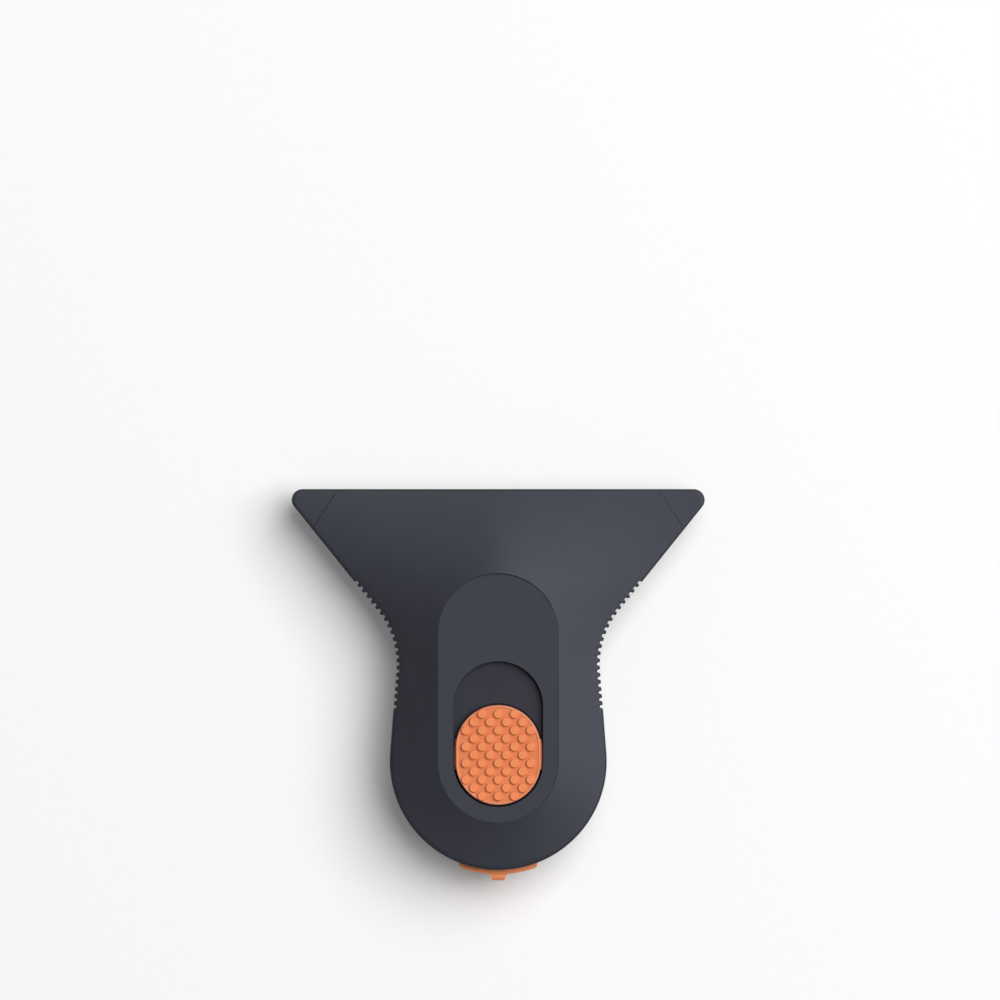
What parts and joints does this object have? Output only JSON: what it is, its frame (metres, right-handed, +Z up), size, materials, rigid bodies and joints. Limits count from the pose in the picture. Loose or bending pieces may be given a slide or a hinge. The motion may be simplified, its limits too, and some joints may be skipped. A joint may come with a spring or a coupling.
{
  "type": "ceramic blade scraper",
  "caption": "Small hand scraper with a retractable ceramic blade across a flared head, a thumb slider in a recessed panel, and a lid that hinges at the nose for blade changes.",
  "frame": {"origin": "centre of the bottom of the bounding box, under the middle of the tool lying on its back", "axes": "+Z up out of the slider face, +Y towards the blade, +X to the right seen from the slider face"},
  "size_m": [0.0644, 0.061, 0.0132],
  "materials": {
    "shell_nylon": "fine moulded texture on glass-filled nylon",
    "carrier_plastic": "moulded, satin",
    "orange_plastic": "moulded, satin",
    "blade_ceramic": "ground white zirconia",
    "pin_steel": "drawn wire",
    "spring_steel": "rolled strip"
  },
  "bodies": {
    "housing": {"lower_shell": "shell_nylon", "hinge_pin_left": "pin_steel", "hinge_pin_right": "pin_steel", "latch_spring": "spring_steel"},
    "lid": {"upper_shell": "shell_nylon"},
    "slider": {"blade_carrier": "carrier_plastic", "thumb_button": "orange_plastic", "ceramic_blade": "blade_ceramic", "detent_spring": "spring_steel"},
    "latch": {"rear_latch": "orange_plastic"}
  },
  "joints": [
    {"name": "lid_hinge", "type": "hinge", "parent": "housing", "child": "lid", "pos_m": [0, 0.0296, 0.00815], "axis": [-1, 0, 0], "range_deg": [0, 50]},
    {"name": "blade_slide", "type": "slide", "parent": "housing", "child": "slider", "axis": [0, 1, 0], "range_m": [0, 0.0066], "deforming": ["detent_spring"]},
    {"name": "latch_press", "type": "slide", "parent": "housing", "child": "latch", "axis": [0, 1, 0], "range_m": [0, 0.0012], "stiffness_N_per_m": 600, "deforming": ["latch_spring"]}
  ]
}
